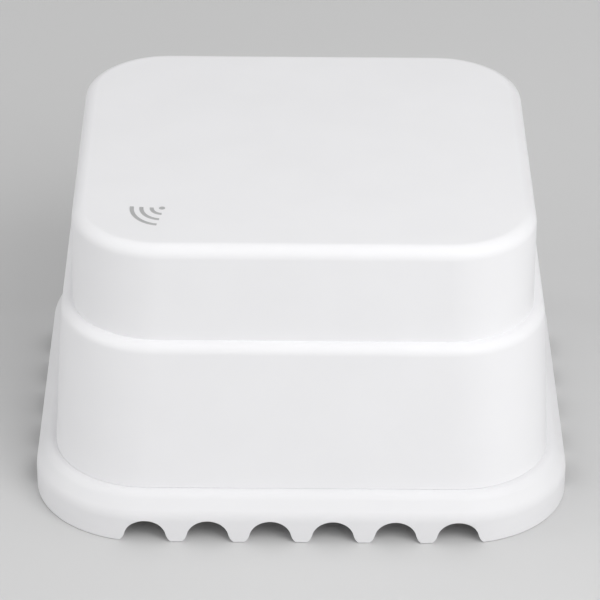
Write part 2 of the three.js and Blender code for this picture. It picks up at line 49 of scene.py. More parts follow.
# ---------- dimensions shared with the CAD ----------
# Z is a height above the floor, R a radius, W and D a full width and depth, T a thickness.
# An inset is measured in from the skirt's outline.
FOOT_W, FOOT_D, FOOT_R = 80, 76, 16.8
HEIGHT = 46.3
WALL = 2
SKIRT_RIM_Z = 4.4
FLANGE_Z = 7.6
PLATE_Z = 5.5
COVER_Z = 7.62
COVER_INSET = 3.05
LEDGE_Z = 31.2
LEDGE_INSET = 4.25
LEDGE_FILLET = 1.65
UPPER_INSET = 5.95
UPPER_DRAFT = 0.15
TOP_FILLET = 1.95
LOWER_R, UPPER_R = 14.1, 13
ARCH_PITCH, ARCH_HALF, ARCH_H, ARCH_BELLY = 9.24, 3.1, 3.72, 0.9
ARCH_FOOT = ((3.98, 0), (3.28, 0.45), (3.03, 1.5))    # curve of an arch's flare, foot to wall
ARCHES_FRONT, ARCHES_SIDE = 6, 5
RIM_INSET, RIM_WALL, RIM_Z, RIM_R = 5.6, 1.6, 12.6, 12
SEAL_Z, SEAL_H, SEAL_DEPTH = 10, 1.2, 0.7
CASE_SCREW = (27.6, 25.6)     # one of four, mirrored left to right and front to back
CASE_BOSS_R, TRAY_BOSS_R, TRAY_BOSS_Z, CASE_HEAD_Z = 2.7, 3.9, 13, 9.6
WELL_W, WELL_D, WELL_Y, WELL_WALL, WELL_CEILING = 50.5, 22.5, 7, 1.5, 18.2
CELL_R, CELL_LENGTH, CELL_NUB, CELL_SPACING, CELL_Z = 5.25, 44.5, 1, 11.2, 11.6
CONTACT_T = 0.4
DOOR_W, DOOR_D, DOOR_R, DOOR_LOW, DOOR_HIGH, DOOR_SCREW_X = 66, 27, 3, 3.3, 5, 30
BOARD_W, BOARD_D, BOARD_Z, BOARD_T = 62, 57, 21.2, 1.6
BOARD_TOP = BOARD_Z + BOARD_T
BOARD_NOTCH = (24, 22)
POST = (19, 25)               # one of four, mirrored like the case screws
SIREN = (0, -17.5)
SIREN_R, SIREN_TOP = 10, 16
DIP_X, DIP_PITCH, DIP_BOTTOM = 8, 2.54, 17.4
RESET_X, RESET_BOTTOM = -12, 17.65
SYMBOL = (-20.66, -19.98)     # its dot's place
SYMBOL_DOT, SYMBOL_STROKE = 0.45, 0.58
SYMBOL_START = 175            # degrees, where every arc begins
SYMBOL_ARCS = ((1.5, 1.75, 270), (3.0, 3.4, 264), (4.4, 5.0, 262))   # radii and end angle
GAP = 0.1                     # clearance between neighbours
GASKET_SWELL = 0.12


# ---------- shapes: each is (vertices in mm, faces) ----------
def ring(width, depth, radius, z, x=0, y=0, steps=FINE):
    """A rounded rectangle at height z."""
    points = []
    for corner, (sx, sy) in enumerate(((1, 1), (-1, 1), (-1, -1), (1, -1))):
        for i in range(steps + 1):
            angle = math.pi / 2 * (corner + i / steps)
            points.append((
                x + sx * (width / 2 - radius) + radius * math.cos(angle),
                y + sy * (depth / 2 - radius) + radius * math.sin(angle),
                z,
            ))
    return points


def case_ring(inset, radius, z):
    """A ring of the case, set in from the skirt's outline."""
    return ring(FOOT_W - 2 * inset, FOOT_D - 2 * inset, radius, z)


def circle(radius, z, x=0, y=0, steps=ROUND):
    """A level circle of points."""
    turns = [2 * math.pi * i / steps for i in range(steps)]
    return [(x + radius * math.cos(a), y + radius * math.sin(a), z) for a in turns]


def stack(rings, loop=False):
    """Joins rings of equal point count along a path, capped at both ends unless it is a loop."""
    count = len(rings[0])
    vertices = [point for one in rings for point in one]
    faces = []
    for k in range(len(rings) if loop else len(rings) - 1):
        low = k * count
        high = (k + 1) % len(rings) * count
        for i in range(count):
            j = (i + 1) % count
            faces.append((low + i, low + j, high + j, high + i))
    if not loop:
        faces.append(tuple(reversed(range(count))))
        faces.append(tuple(range(len(vertices) - count, len(vertices))))
    return vertices, faces


def turned(profile, x=0, y=0, steps=ROUND):
    """A turned solid from (radius, height) pairs."""
    return stack([circle(r, z, x, y, steps) for r, z in profile])


def rod(radius, low, high, x=0, y=0, steps=ROUND):
    """An upright cylinder."""
    return turned([(radius, low), (radius, high)], x, y, steps)


def soft_profile(profile, radius, steps=3):
    """Rounds the inner corners of a (radius, height) path."""
    result = [profile[0]]
    for before, here, after in zip(profile, profile[1:], profile[2:]):
        a = Vector(before) - Vector(here)
        b = Vector(after) - Vector(here)
        reach = min(radius, a.length * 0.45, b.length * 0.45)
        if reach < 1e-3:
            result.append(here)
            continue
        start = Vector(here) + a.normalized() * reach
        end = Vector(here) + b.normalized() * reach
        for i in range(steps + 1):
            t = i / steps
            spot = start * (1 - t) ** 2 + Vector(here) * 2 * t * (1 - t) + end * t ** 2
            result.append(tuple(spot))
    result.append(profile[-1])
    return result


def soft_turned(profile, x=0, y=0, radius=0.15, steps=ROUND):
    """A turned solid with its profile's corners rounded."""
    return turned(soft_profile(profile, radius), x, y, steps)


def slab(width, depth, radius, low, high, x=0, y=0, edge=0.0, steps=6):
    """A rounded plate; edge rounds its top and bottom rims."""
    if not edge:
        return stack([ring(width, depth, radius, z, x, y, steps) for z in (low, high)])
    rings = []
    for end, way in ((low, 1), (high, -1)):
        turns = [i / 3 * math.pi / 2 for i in range(4)]
        for angle in turns if way > 0 else reversed(turns):
            inset = edge * (1 - math.sin(angle))
            corner = max(radius - inset, 0.05)
            z = end + way * edge * (1 - math.cos(angle))
            rings.append(ring(width - 2 * inset, depth - 2 * inset, corner, z, x, y, steps))
    return stack(rings)


def box(x0, x1, y0, y1, z0, z1):
    """A block between two corners."""
    corners = [(x, y, z) for z in (z0, z1) for x, y in ((x0, y0), (x1, y0), (x1, y1), (x0, y1))]
    faces = [(3, 2, 1, 0), (4, 5, 6, 7), (0, 1, 5, 4), (1, 2, 6, 5), (2, 3, 7, 6), (3, 0, 4, 7)]
    return corners, faces


def block(x, y, half, half_deep, low, high):
    """A block centred on a place, by its half width and half depth."""
    return box(x - half, x + half, y - half_deep, y + half_deep, low, high)


def frame_loop(width, depth, radius, band, low, high, x=0, y=0):
    """A flat gasket: a rounded rectangle with a rounded opening, its edges slightly swollen."""
    outer = [(0, low), (GASKET_SWELL, (low + high) / 2), (0, high)]
    rings = [ring(width + 2 * out, depth + 2 * out, radius + out, z, x, y, 8) for out, z in outer]
    for out, z in reversed(outer):
        inner = radius - band - out
        rings.append(ring(width - 2 * (band + out), depth - 2 * (band + out), inner, z, x, y, 8))
    return stack(rings, loop=True)


def torus(major, minor, x, y, z, steps=ROUND, sides=16):
    """A ring of round section, lying flat."""
    rings = []
    for k in range(sides):
        angle = -2 * math.pi * k / sides
        rings.append(circle(major - minor * math.cos(angle), z - minor * math.sin(angle), x, y, steps))
    return stack(rings, loop=True)


def bar(path, radius, sides=12):
    """A round bar along a path of points."""
    path = [Vector(point) for point in path]
    side = Vector((0, 0, 1))
    rings = []
    for i, point in enumerate(path):
        along = (path[min(i + 1, len(path) - 1)] - path[max(i - 1, 0)]).normalized()
        side = side - along * side.dot(along)
        if side.length < 0.05:
            side = Vector((1, 0, 0)).cross(along)
        side.normalize()
        third = along.cross(side)
        turns = [2 * math.pi * k / sides for k in range(sides)]
        rings.append([
            tuple(point + side * radius * math.cos(a) + third * radius * math.sin(a)) for a in turns])
    return stack(rings)


def coil(x0, x1, y, z, radii, turns, wire, per_turn=36, sides=12):
    """A helix along X, from one radius to another."""
    steps = round(turns * per_turn)
    path = []
    for i in range(steps + 1):
        part = i / steps
        angle = 2 * math.pi * turns * part
        radius = radii[0] + (radii[1] - radii[0]) * part
        path.append((x0 + (x1 - x0) * part, y + radius * math.cos(angle), z + radius * math.sin(angle)))
    return bar(path, wire, sides)


def prism(outline, low, high):
    """A solid between two heights over any simple outline."""
    count = len(outline)
    vertices = [(x, y, low) for x, y in outline] + [(x, y, high) for x, y in outline]
    faces = [(i, (i + 1) % count, (i + 1) % count + count, i + count) for i in range(count)]
    faces.append(tuple(reversed(range(count))))
    faces.append(tuple(range(count, 2 * count)))
    return vertices, faces


def moved(shape, place):
    """The shape with each point passed through a function."""
    return [place(*point) for point in shape[0]], shape[1]


def four(x, y):
    """The four places mirrored left to right and front to back."""
    return [(-x, -y), (x, -y), (-x, y), (x, y)]


# ---------- meshes and pieces ----------
def link_object(name, data):
    thing = bpy.data.objects.new(name, data)
    bpy.context.scene.collection.objects.link(thing)
    return thing


def mesh_object(name, shapes):
    """A Blender object made of the shapes, with every face pointing out."""
    vertices = []
    faces = []
    for shape_vertices, shape_faces in shapes:
        base = len(vertices)
        vertices += [tuple(c * MM for c in point) for point in shape_vertices]
        faces += [tuple(base + i for i in face) for face in shape_faces]
    mesh = bpy.data.meshes.new(name)
    mesh.from_pydata(vertices, [], faces)
    made = bmesh.new()
    made.from_mesh(mesh)
    bmesh.ops.recalc_face_normals(made, faces=made.faces)
    made.to_mesh(mesh)
    made.free()
    return link_object(name, mesh)


def settle(thing):
    """Replaces a piece's mesh by what its modifiers make of it."""
    graph = bpy.context.evaluated_depsgraph_get()
    mesh = bpy.data.meshes.new_from_object(thing.evaluated_get(graph))
    thing.modifiers.clear()
    thing.data = mesh


def carve(thing, shapes, operation="DIFFERENCE"):
    """Cuts shapes out of a piece, or joins them to it."""
    tool = mesh_object("tool", shapes)
    step = thing.modifiers.new("carve", "BOOLEAN")
    step.object = tool
    step.operation = operation
    step.solver = "EXACT"
    step.use_self = True
    settle(thing)
    bpy.data.objects.remove(tool)


def soften(thing, width, angle):
    """Rounds every edge sharper than the angle."""
    step = thing.modifiers.new("soften", "BEVEL")
    step.width = width * MM
    step.segments = 2
    step.limit_method = "ANGLE"
    step.angle_limit = math.radians(angle)
    step.use_clamp_overlap = True
    settle(thing)


def piece(name, shapes, finish, body="sensor", smooth=35, joined=(), cuts=(), soft=0.0, sharp=60):
    """A finished piece that stands for the CAD node of the same name.

    Shapes are joined to it, each group of cuts is taken from it in turn, and its edges sharper than
    an angle are softened. The finish is a slot's name, which is not used here, and a material.
    """
    slot, material = finish
    thing = mesh_object("fine_" + name, shapes)
    if joined:
        carve(thing, joined, "UNION")
    for group in cuts:
        carve(thing, group)
    if soft:
        soften(thing, soft, sharp)
    thing.data.materials.clear()
    thing.data.materials.append(material)
    thing.data.shade_smooth()
    thing.data.set_sharp_from_angle(angle=math.radians(smooth))
    step = thing.modifiers.new("even_normals", "WEIGHTED_NORMAL")
    step.keep_sharp = True
    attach(thing, body)
    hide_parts(name)


# ---------- finishes: each is (slot of the record, material) ----------
def start_material(name):
    """A new material with only a Principled shader wired to its output."""
    material = bpy.data.materials.new(name)
    material.use_nodes = True
    nodes = material.node_tree.nodes
    nodes.clear()
    output = nodes.new("ShaderNodeOutputMaterial")
    shader = nodes.new("ShaderNodeBsdfPrincipled")
    material.node_tree.links.new(shader.outputs[0], output.inputs[0])
    return material, nodes, material.node_tree.links, shader


def set_inputs(node, **values):
    """Sets a node's sockets by name, each _ standing for a space."""
    for socket, value in values.items():
        node.inputs[socket.replace("_", " ")].default_value = value


def object_noise(nodes, links, scale, detail=3.0, stretch=(1, 1, 1)):
    """Noise fixed to the object, with its scale in features a metre."""
    where = nodes.new("ShaderNodeTexCoord")
    mapping = nodes.new("ShaderNodeMapping")
    set_inputs(mapping, Scale=stretch)
    links.new(where.outputs["Object"], mapping.inputs["Vector"])
    texture = nodes.new("ShaderNodeTexNoise")
    set_inputs(texture, Scale=scale, Detail=detail)
    links.new(mapping.outputs["Vector"], texture.inputs["Vector"])
    return texture.outputs["Fac"]


def remap(nodes, links, value, low, high, start=0.3, end=0.7):
    """A value between start and end, spread over low to high."""
    step = nodes.new("ShaderNodeMapRange")
    set_inputs(step, From_Min=start, From_Max=end, To_Min=low, To_Max=high)
    links.new(value, step.inputs["Value"])
    return step.outputs["Result"]


def colour_between(nodes, links, value, first, second):
    """A mix from the first colour to the second; each is a plain colour or another node's output."""
    mix = nodes.new("ShaderNodeMix")
    mix.data_type = "RGBA"
    links.new(value, mix.inputs["Factor"])
    for socket, colour in ((6, first), (7, second)):      # its colour sockets
        if isinstance(colour, tuple):
            mix.inputs[socket].default_value = (*colour, 1)
        else:
            links.new(colour, mix.inputs[socket])
    return mix.outputs[2]


def add_bumps(nodes, links, shader, layers):
    """Stacks bumps, each (height, strength, depth in metres)."""
    normal = None
    for height, strength, depth in layers:
        bump = nodes.new("ShaderNodeBump")
        set_inputs(bump, Strength=strength, Distance=depth)
        links.new(height, bump.inputs["Height"])
        if normal is not None:
            links.new(normal, bump.inputs["Normal"])
        normal = bump.outputs["Normal"]
    links.new(normal, shader.inputs["Normal"])


def plain_finish(slot, name, colour, roughness, shade=0.93, metallic=0.0, wave=(400, 0.1, 6e-5),
                 grain=(5000, 0.1, 8e-6), stretch=(1, 1, 1), **sockets):
    """A finish with colour drift, uneven gloss, a long wave and a fine grain.

    Wave and grain are each (features a metre, strength, depth in metres); sockets are the shader's.
    """
    material, nodes, links, shader = start_material(name)
    drift = object_noise(nodes, links, wave[0] * 0.4, 2.0)
    dim = tuple(c * shade for c in colour)
    links.new(
        colour_between(nodes, links, remap(nodes, links, drift, 0, 1), colour, dim),
        shader.inputs["Base Color"])
    fine = object_noise(nodes, links, grain[0], 2.0, stretch)
    links.new(remap(nodes, links, fine, *roughness), shader.inputs["Roughness"])
    long_wave = object_noise(nodes, links, wave[0], 1.0)
    add_bumps(nodes, links, shader, [(long_wave, wave[1], wave[2]), (fine, grain[1], grain[2])])
    set_inputs(shader, Metallic=metallic, **sockets)
    return slot, material


def board_finish(slot, name):
    """Green solder mask over patches of copper tracks, with bare gold pads between them."""
    material, nodes, links, shader = start_material(name)
    mask_green, track_green, pad_gold = (0.012, 0.13, 0.05), (0.035, 0.26, 0.11), (0.8, 0.6, 0.25)
    where = nodes.new("ShaderNodeTexCoord")
    tracks = nodes.new("ShaderNodeTexBrick")
    tracks.offset_frequency = 3
    tracks.squash_frequency = 4
    tracks.squash = 2.4
    set_inputs(tracks, Scale=300, Mortar_Size=0.045, Brick_Width=2.6, Row_Height=0.3)
    links.new(where.outputs["Object"], tracks.inputs["Vector"])
    copper = nodes.new("ShaderNodeMath")
    copper.operation = "MULTIPLY"
    links.new(tracks.outputs["Fac"], copper.inputs[0])
    patches = remap(nodes, links, object_noise(nodes, links, 120, 0.0), 0, 1, 0.47, 0.49)
    links.new(patches, copper.inputs[1])
    dots = nodes.new("ShaderNodeTexVoronoi")
    set_inputs(dots, Scale=330, Randomness=0.55)
    links.new(where.outputs["Object"], dots.inputs["Vector"])
    pad = remap(nodes, links, dots.outputs["Distance"], 1, 0, 0.13, 0.15)
    mask = colour_between(nodes, links, copper.outputs[0], mask_green, track_green)
    links.new(colour_between(nodes, links, pad, mask, pad_gold), shader.inputs["Base Color"])
    links.new(pad, shader.inputs["Metallic"])
    links.new(remap(nodes, links, pad, 0.32, 0.2, 0, 1), shader.inputs["Roughness"])
    weave = object_noise(nodes, links, 2600, 1.0)
    add_bumps(nodes, links, shader, [(copper.outputs[0], 0.4, 4e-5), (weave, 0.1, 1e-5)])
    return slot, material


def cell_finish(slot, name):
    """Blue film with a pale band towards its ends, and bare steel at both ends."""
    material, nodes, links, shader = start_material(name)
    dark_blue, blue = (0.02, 0.1, 0.36), (0.03, 0.14, 0.45)
    pale, steel = (0.62, 0.63, 0.64), (0.68, 0.68, 0.69)
    band_x, bare_x, blur = 0.0158, 0.0232, 0.0001      # metres from the middle of the cell's length
    where = nodes.new("ShaderNodeTexCoord")
    apart = nodes.new("ShaderNodeSeparateXYZ")
    links.new(where.outputs["Object"], apart.inputs["Vector"])
    level = nodes.new("ShaderNodeMath")
    level.operation = "ABSOLUTE"
    links.new(apart.outputs["X"], level.inputs[0])
    band = remap(nodes, links, level.outputs[0], 0, 1, band_x, band_x + blur)
    bare = remap(nodes, links, level.outputs[0], 0, 1, bare_x, bare_x + blur)
    drift = remap(nodes, links, object_noise(nodes, links, 300, 2.0), 0, 1)
    film = colour_between(nodes, links, drift, dark_blue, blue)
    sleeve = colour_between(nodes, links, band, film, pale)
    links.new(colour_between(nodes, links, bare, sleeve, steel), shader.inputs["Base Color"])
    links.new(remap(nodes, links, bare, 0.45, 1.0, 0, 1), shader.inputs["Metallic"])
    fine = object_noise(nodes, links, 3000, 2.0)
    links.new(remap(nodes, links, fine, 0.24, 0.36), shader.inputs["Roughness"])
    add_bumps(nodes, links, shader, [(fine, 0.08, 1e-5)])
    return slot, material


CASE = plain_finish(
    "case_white", "case_white_finish", (0.864, 0.862, 0.876), (0.38, 0.46), shade=0.985,
    wave=(260, 0.12, 5e-5), grain=(5200, 0.08, 6e-6), IOR=1.4, Specular_IOR_Level=0.25)
# The tray's white is the case's white darkened by about six per cent: painted shade for the dimmer light
# low on the flange and under the case, used on the tray and the battery door.
TRAY_WHITE_PAINTED_SHADE = plain_finish(
    "case_white", "tray_white_painted_shade_finish", (0.812, 0.81, 0.823), (0.38, 0.46), shade=0.985,
    wave=(240, 0.12, 5e-5), grain=(4800, 0.08, 6e-6), IOR=1.4, Specular_IOR_Level=0.25)
SYMBOL_GREY = plain_finish(
    "signal_grey", "signal_grey_finish", (0.49, 0.49, 0.495), (0.3, 0.42), shade=0.9, wave=(900, 0.1, 3e-5))
CLEAR = plain_finish(
    "clear_plastic", "clear_finish", (0.93, 0.96, 0.96), (0.04, 0.1), shade=0.99, wave=(500, 0.08, 2e-5),
    Transmission_Weight=0.9, IOR=1.49)
RUBBER = plain_finish(
    "seal_rubber", "rubber_finish", (0.03, 0.03, 0.033), (0.55, 0.75), shade=0.8, grain=(4000, 0.3, 2e-5))
STEEL = plain_finish(
    "plated_steel", "nickel_finish", (0.66, 0.65, 0.63), (0.18, 0.34), shade=0.92, metallic=1.0,
    grain=(3500, 0.15, 1e-5), stretch=(0.2, 1, 1))
BRASS = plain_finish(
    "standoff_brass", "brass_finish", (0.74, 0.55, 0.25), (0.2, 0.36), shade=0.9, metallic=1.0,
    grain=(3500, 0.15, 1e-5), stretch=(1, 1, 6))
GOLD = plain_finish(
    "probe_gold", "gold_finish", (0.88, 0.66, 0.27), (0.12, 0.24), shade=0.93, metallic=1.0,
    grain=(4500, 0.12, 8e-6))
COPPER = plain_finish(
    "coil_copper", "copper_finish", (0.68, 0.29, 0.12), (0.16, 0.3), shade=0.85, metallic=1.0,
    grain=(3000, 0.1, 8e-6))
BLACK = plain_finish(
    "black_plastic", "black_finish", (0.022, 0.022, 0.024), (0.34, 0.5), shade=0.85,
    grain=(6000, 0.25, 1.2e-5))
RED = plain_finish("switch_red", "red_finish", (0.46, 0.025, 0.022), (0.3, 0.45), shade=0.88)
SWITCH_WHITE = plain_finish(
    "switch_white", "switch_white_finish", (0.8, 0.79, 0.76), (0.35, 0.5), shade=0.94)
BUTTON_GREY = plain_finish("button_grey", "button_grey_finish", (0.26, 0.27, 0.28), (0.35, 0.5), shade=0.9)
MEMBRANE = plain_finish(
    "vent_membrane", "membrane_finish", (0.62, 0.62, 0.6), (0.75, 0.95), shade=0.85,
    grain=(7000, 0.6, 3e-5))
BOARD = board_finish("board_green", "board_finish")
CELL = cell_finish("cell_sleeve", "cell_finish")


# ---------- cover ----------
COVER_EDGE = ((0.04, 0), (0.012, 0.012), (0, 0.04))   # rounding of its lower edge: inset, rise
BOSS_BORE_R, BOSS_BORE_TOP = 1.2, 24
WINDOW_R, WINDOW_T = 5.8, 1.1
SLOT_PLAY = 0.04              # how much wider the symbol's slots are than its strokes


def fillet(radius, inset, corner, top, steps):
    """Rings of a quarter round that turns in to a flat at the top height."""
    rings = []
    for i in range(steps + 1):
        angle = math.pi / 2 * i / steps
        inward = radius * (1 - math.cos(angle))
        rings.append(case_ring(inset + inward, corner - inward, top - radius * (1 - math.sin(angle))))
    return rings


def symbol_arcs(low, high, stroke, steps=28):
    """The symbol's three arcs as solids between two heights."""
    shapes = []
    for wide, deep, end in SYMBOL_ARCS:
        outline = []
        for side in (1, -1):
            for i in range(steps + 1):
                part = i / steps if side > 0 else 1 - i / steps
                angle = math.radians(SYMBOL_START + (end - SYMBOL_START) * part)
                outline.append((
                    SYMBOL[0] + (wide + side * stroke / 2) * math.cos(angle),
                    SYMBOL[1] + (deep + side * stroke / 2) * math.sin(angle)))
        shapes.append(prism(outline, low, high))
    return shapes


def cover_shell():
    """From the inside of the roof, down, round the rim and up the outside."""
    upper = UPPER_INSET + UPPER_DRAFT
    return stack([
        case_ring(upper + WALL, UPPER_R - WALL, HEIGHT - WALL),
        case_ring(UPPER_INSET + WALL, UPPER_R - WALL, LEDGE_Z - WALL),
        case_ring(LEDGE_INSET + WALL, LOWER_R - WALL, LEDGE_Z - WALL),
        case_ring(COVER_INSET + WALL, LOWER_R - WALL, COVER_Z),
        *[case_ring(COVER_INSET + inset, LOWER_R - inset, COVER_Z + rise) for inset, rise in COVER_EDGE],
        *fillet(LEDGE_FILLET, LEDGE_INSET, LOWER_R, LEDGE_Z, 10),
        case_ring(UPPER_INSET, UPPER_R, LEDGE_Z),
        *fillet(TOP_FILLET, upper, UPPER_R, HEIGHT, 12),
    ])


def make_cover():
    inside = HEIGHT - WALL
    bosses = [rod(CASE_BOSS_R, TRAY_BOSS_Z + GAP, inside + 0.5, x, y, 40) for x, y in four(*CASE_SCREW)]
    holes = [rod(BOSS_BORE_R, TRAY_BOSS_Z - 1, BOSS_BORE_TOP, x, y, 24) for x, y in four(*CASE_SCREW)]
    holes.append(rod(SYMBOL_DOT + SLOT_PLAY / 2, inside - 1, HEIGHT + 1, *SYMBOL, 32))
    holes += symbol_arcs(inside - 1, HEIGHT + 1, SYMBOL_STROKE + SLOT_PLAY)
    piece("top_cover", [cover_shell()], CASE, smooth=40, joined=bosses, cuts=[holes])


def make_window():
    """The grey insert: a disc under the roof, with the symbol raised through it."""
    top = HEIGHT - WALL
    seat = soft_turned([
        (WINDOW_R - 0.2, top - WINDOW_T), (WINDOW_R, top - WINDOW_T + 0.1), (WINDOW_R, top - GAP)], *SYMBOL)
    low, high = top - 0.5, HEIGHT - 0.01
    raised = [*symbol_arcs(low, high, SYMBOL_STROKE), rod(SYMBOL_DOT, low, high, *SYMBOL, 32)]
    piece("signal_window", [seat], SYMBOL_GREY, joined=raised)


# ---------- base tray ----------
FLARE = ((0, 0.0), (0, SKIRT_RIM_Z + 0.1), (1.55, 7.05), (2.4, FLANGE_Z), (4.5, FLANGE_Z))
FLARE_SOFT = 0.9              # how far the flare's corners are rounded
FOOT_EDGE = ((0.22, 0), (0.07, 0.07), (0, 0.22))    # rounding of the foot's outer edge
EAR_X, EAR_HALF, EAR_HALF_DEEP = 29.6, 3.6, 3       # bosses for the door's screws
DOOR_SCREW_BORE, DOOR_SCREW_TOP = 1.3, 12.4
CASE_SCREW_WELL, CASE_SCREW_BORE = 2.7, 1.4
POST_BORE = 1.5
SIREN_PORTS, SIREN_PORT_RING, SIREN_PORT_R = 6, 4, 1.1
DIP_WINDOW, RESET_WINDOW = (6.4, 3.7), (3.7, 3.7)   # half sizes of the openings in the well's ceiling
TAB_SLOT_X, TAB_SLOT_HALF, TAB_SLOT_HALF_DEEP = 0.45, 0.4, 1.6    # the first from the well's end wall


def arch_outline():
    """One arch as (across, up) points, with its feet flared."""
    foot, bend, wall = (Vector(point) for point in ARCH_FOOT)
    left = [(-foot.x, -1.0)]
    for i in range(12):
        t = i / 12
        spot = foot * (1 - t) ** 2 + bend * 2 * t * (1 - t) + wall * t ** 2
        left.append((-spot.x, spot.y))
    rise = ARCH_H - ARCH_BELLY
    start = math.asin((wall.y - ARCH_BELLY) / rise)
    crown = []
    for i in range(33):
        angle = math.pi - start - (math.pi - 2 * start) * i / 32
        crown.append((ARCH_HALF * math.cos(angle), ARCH_BELLY + rise * math.sin(angle)))
    return left + crown + [(-x, z) for x, z in reversed(left)]


def arch_cuts():
    """Two sets of prisms: those through front and back, and those through the sides."""
    long_way = prism(arch_outline(), -60, 60)
    front = []
    for i in range(ARCHES_FRONT):
        middle = (i - (ARCHES_FRONT - 1) / 2) * ARCH_PITCH
        front.append(moved(long_way, lambda a, b, c, m=middle: (a + m, c, b)))
    sides = []
    for i in range(ARCHES_SIDE):
        middle = (i - (ARCHES_SIDE - 1) / 2) * ARCH_PITCH
        sides.append(moved(long_way, lambda a, b, c, m=middle: (c, a + m, b)))
    return front, sides


def tray_shell():
    """Plate, skirt and locating rim: under the plate, down, round the foot, up the flare, over the rim."""
    skirt = [
        (WALL + 0.5, PLATE_Z), (WALL + 0.15, PLATE_Z - 0.15), (WALL, PLATE_Z - 0.5), (WALL, 0.1),
        (WALL - 0.1, 0), *FOOT_EDGE, *soft_profile(FLARE, FLARE_SOFT, 6)[1:]]
    groove = SEAL_H / 2 + GAP
    rim = [
        (0, FLANGE_Z), (0, SEAL_Z - groove), (SEAL_DEPTH, SEAL_Z - groove), (SEAL_DEPTH, SEAL_Z + groove),
        (0, SEAL_Z + groove), (0, RIM_Z - 0.2), (0.2, RIM_Z), (RIM_WALL, RIM_Z), (RIM_WALL, FLANGE_Z)]
    return stack([
        *[case_ring(inset, FOOT_R - inset, z) for inset, z in skirt],
        *[case_ring(RIM_INSET + inset, RIM_R - inset, z) for inset, z in rim]])


def tray_additions():
    """The battery well's box, the ears for the door's screws and the case screws' bosses."""
    well = slab(WELL_W + 2 * WELL_WALL, WELL_D + 2 * WELL_WALL, 1.5, FLANGE_Z - 0.5,
                WELL_CEILING + WELL_WALL, 0, WELL_Y)
    ears = [block(x, WELL_Y, EAR_HALF, EAR_HALF_DEEP, FLANGE_Z - 0.5, TRAY_BOSS_Z) for x in (-EAR_X, EAR_X)]
    bosses = [rod(TRAY_BOSS_R, FLANGE_Z - 0.5, TRAY_BOSS_Z, x, y, 40) for x, y in four(*CASE_SCREW)]
    return [well, *ears, *bosses]


def tray_holes():
    """The battery well's space, the screw and post holes, and the siren's ports."""
    holes = [slab(WELL_W, WELL_D, 0.5, PLATE_Z - 1, WELL_CEILING, 0, WELL_Y)]
    for x, y in four(*CASE_SCREW):
        holes.append(turned([
            (CASE_SCREW_WELL + 0.4, PLATE_Z - 0.5), (CASE_SCREW_WELL + 0.05, PLATE_Z + 0.25),
            (CASE_SCREW_WELL, CASE_HEAD_Z), (CASE_SCREW_BORE, CASE_HEAD_Z),
            (CASE_SCREW_BORE, TRAY_BOSS_Z + 1)], x, y, 40))
    for side in (-1, 1):
        holes.append(rod(DOOR_SCREW_BORE, PLATE_Z - 1, DOOR_SCREW_TOP, side * DOOR_SCREW_X, WELL_Y, 24))
    holes += [rod(POST_BORE, PLATE_Z - 1, FLANGE_Z + 1, x, y, 24) for x, y in four(*POST)]
    for i in range(SIREN_PORTS):
        angle = 2 * math.pi / SIREN_PORTS * i
        x = SIREN[0] + SIREN_PORT_RING * math.cos(angle)
        y = SIREN[1] + SIREN_PORT_RING * math.sin(angle)
        holes.append(turned([
            (SIREN_PORT_R + 0.4, PLATE_Z - 0.4), (SIREN_PORT_R + 0.05, PLATE_Z + 0.2),
            (SIREN_PORT_R, FLANGE_Z + 1)], x, y, 24))
    return holes


def ceiling_openings():
    """Openings in the battery well's ceiling: two for the switches, two for the contacts' tabs."""
    low, high = WELL_CEILING - 1, WELL_CEILING + 3
    openings = [
        block(DIP_X, WELL_Y, *DIP_WINDOW, low, high), block(RESET_X, WELL_Y, *RESET_WINDOW, low, high)]
    for side in (-1, 1):
        y = WELL_Y + side * CELL_SPACING / 2
        openings.append(block(TAB_SLOT_X - WELL_W / 2, y, TAB_SLOT_HALF, TAB_SLOT_HALF_DEEP, low, high))
    return openings


def make_tray():
    piece("base_tray", [tray_shell()], TRAY_WHITE_PAINTED_SHADE, smooth=40, joined=tray_additions(),
          cuts=[tray_holes(), ceiling_openings(), *arch_cuts()], soft=0.14, sharp=55)


# ---------- screws, door, probes ----------
THREAD_PITCH = 0.5
RECESS_HALF = 0.24            # half the width of a cross recess's arms
# head radius, head height, shank radius and length of each kind of screw
CASE_SCREW_SIZE = (2.4, 1.9, 1.1, 11)
DOOR_SCREW_SIZE = (2.3, 1.6, 1.05, 8)
BOARD_SCREW_SIZE = (2.1, 1.45, 1, 5.5)
LIP_W, LIP_D, LIP_Z, LIP_BAND = WELL_W - 0.8, WELL_D - 0.8, 6.5, 1.2
DOOR_HOLE_R, DOOR_SINK_R = 1.4, 2.7
GRIP_LINES, GRIP_START, GRIP_PITCH, GRIP_W, GRIP_D = 5, 15, 1.6, 0.7, 12
GASKET = (55.7, 25.3, 2.6, 1.9)    # width, depth, corner radius, band
PROBE_PROFILE = (
    (0.3, 1.2), (2.2, 1.35), (2.9, 1.8), (3, 2.4), (3, 4.1), (1.25, 4.1), (1.25, 11.6), (0.8, 12))
PROBE_SEAL_R, PROBE_SEAL_WIRE, PROBE_SEAL_Z = 2.05, 0.6, 4.8
STANDOFF_R, STANDOFF_BORE, STANDOFF_THREAD = 2.6, 1.4, 1.2


def screw_shape(x, y, seat, size, up=1):
    """A threaded screw: its head bears at the seat and its shank runs up (1) or down (-1)."""
    head_r, head_h, shank_r, length = size
    profile = [
        (head_r * 0.45, -head_h), (head_r * 0.8, -head_h * 0.9), (head_r * 0.98, -head_h * 0.5),
        (head_r, -0.1), (head_r - 0.1, 0), (shank_r * 0.86, 0)]
    height = THREAD_PITCH
    while height < length - 1:
        profile += [(shank_r * 0.84, height), (shank_r, height + THREAD_PITCH * 0.3)]
        height += THREAD_PITCH
    profile += [(shank_r * 0.8, length - 0.7), (shank_r * 0.3, length)]
    if up < 0:
        profile = [(r, -z) for r, z in reversed(profile)]
    return turned([(r, seat + z) for r, z in profile], x, y, 40)


